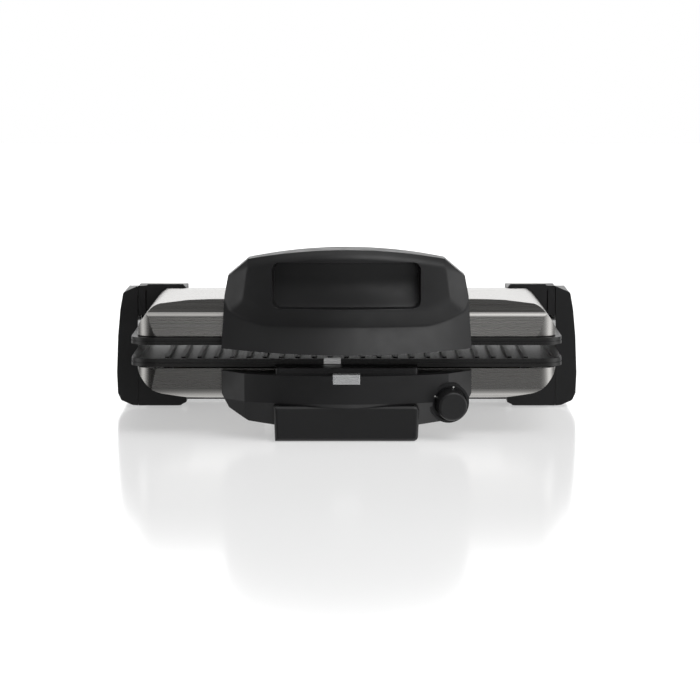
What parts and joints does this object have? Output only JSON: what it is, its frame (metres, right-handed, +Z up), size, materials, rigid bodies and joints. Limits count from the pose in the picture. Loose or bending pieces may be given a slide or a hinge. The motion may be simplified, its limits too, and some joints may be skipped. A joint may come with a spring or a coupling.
{
  "type": "panini press",
  "caption": "Wide contact grill with ribbed plates, steel shells, black front handle and console, and a floating rear hinge that opens flat.",
  "frame": {"origin": "on the worktop under the centre of the press's bounding box", "axes": "+X to the user's right along the width, +Y to the back where the hinge and cord inlet are, +Z up"},
  "size_m": [0.3952, 0.3308, 0.151],
  "materials": {
    "brushed_steel": "brushed along the width, clear",
    "black_plastic": "satin fine-textured black",
    "gloss_plastic": "semi-gloss black",
    "cast_nonstick": "die-cast aluminium with dark non-stick coating",
    "polished_steel": "bright drawn steel",
    "zinc_steel": "zinc-plated steel fasteners",
    "aluminised_sheet": "aluminised steel sheet",
    "element_sheath": "oxidised heating element sheath",
    "lens_clear": "clear ribbed polycarbonate",
    "lamp_glass": "neon lamp glass",
    "rubber": "matt black rubber",
    "dial_white": "white pad-printed dots",
    "ceramic": "steatite ceramic",
    "brass": "machined brass bush",
    "nylon": "natural nylon",
    "bakelite": "phenolic moulding"
  },
  "bodies": {
    "base": {"base_shell": "brushed_steel", "base_wire_grommets": "rubber", "bracket_screws": "zinc_steel", "console": "black_plastic", "console_screws": "zinc_steel", "cord_gland": "rubber", "dial_marks": "dial_white", "front_foot": "black_plastic", "front_foot_pads": "rubber", "indicator_lamp": "lamp_glass", "indicator_lens": "lens_clear", "lower_element_terminals": "ceramic", "lower_grill_plate": "cast_nonstick", "lower_heat_shield": "aluminised_sheet", "lower_heating_element": "element_sheath", "lower_shield_screws": "zinc_steel", "lower_shield_spacers": "zinc_steel", "post_cover_left": "black_plastic", "post_cover_right": "black_plastic", "post_guide_left": "gloss_plastic", "post_guide_right": "gloss_plastic", "post_screws": "zinc_steel", "rear_bracket_left": "black_plastic", "rear_bracket_right": "black_plastic", "rear_cover": "black_plastic", "rear_foot_pads": "rubber", "terminal_block": "ceramic", "thermal_fuse": "zinc_steel", "thermostat": "bakelite", "tie_screws": "zinc_steel"},
    "hinge_carriage": {"hinge_rod": "polished_steel", "hinge_slider_left": "nylon", "hinge_slider_right": "nylon", "rod_clips": "zinc_steel"},
    "lid": {"lid_shell": "brushed_steel", "handle_front": "black_plastic", "handle_back": "black_plastic", "handle_screws": "zinc_steel", "lid_arm_left": "black_plastic", "lid_arm_right": "black_plastic", "arm_screws": "zinc_steel", "arm_bushes": "brass", "upper_grill_plate": "cast_nonstick", "upper_heating_element": "element_sheath", "upper_element_terminals": "ceramic", "upper_heat_shield": "aluminised_sheet", "upper_shield_spacers": "zinc_steel", "upper_shield_screws": "zinc_steel", "lid_wire_grommets": "rubber"},
    "knob": {"knob": "black_plastic", "thermostat_shaft": "zinc_steel"},
    "lower_plate_catch": {"lower_plate_catch": "polished_steel"},
    "upper_plate_catch": {"upper_plate_catch": "polished_steel"}
  },
  "joints": [
    {"name": "hinge_float", "type": "slide", "parent": "base", "child": "hinge_carriage", "axis": [0, 0, 1], "range_m": [-0.0105, 0.012]},
    {"name": "lid_hinge", "type": "hinge", "parent": "hinge_carriage", "child": "lid", "pos_m": [0, 0.128, 0.077], "axis": [-1, 0, 0], "range_deg": [0, 180]},
    {"name": "knob_turn", "type": "hinge", "parent": "base", "child": "knob", "pos_m": [0.0816, -0.1435, 0.0289], "axis": [0.2064, -0.9708, -0.1219], "range_deg": [0, 270]},
    {"name": "lower_catch_slide", "type": "slide", "parent": "base", "child": "lower_plate_catch", "axis": [0, -1, 0], "range_m": [0, 0.0025], "stiffness_N_per_m": 600},
    {"name": "upper_catch_slide", "type": "slide", "parent": "lid", "child": "upper_plate_catch", "axis": [0, -1, 0], "range_m": [0, 0.0025], "stiffness_N_per_m": 600}
  ]
}
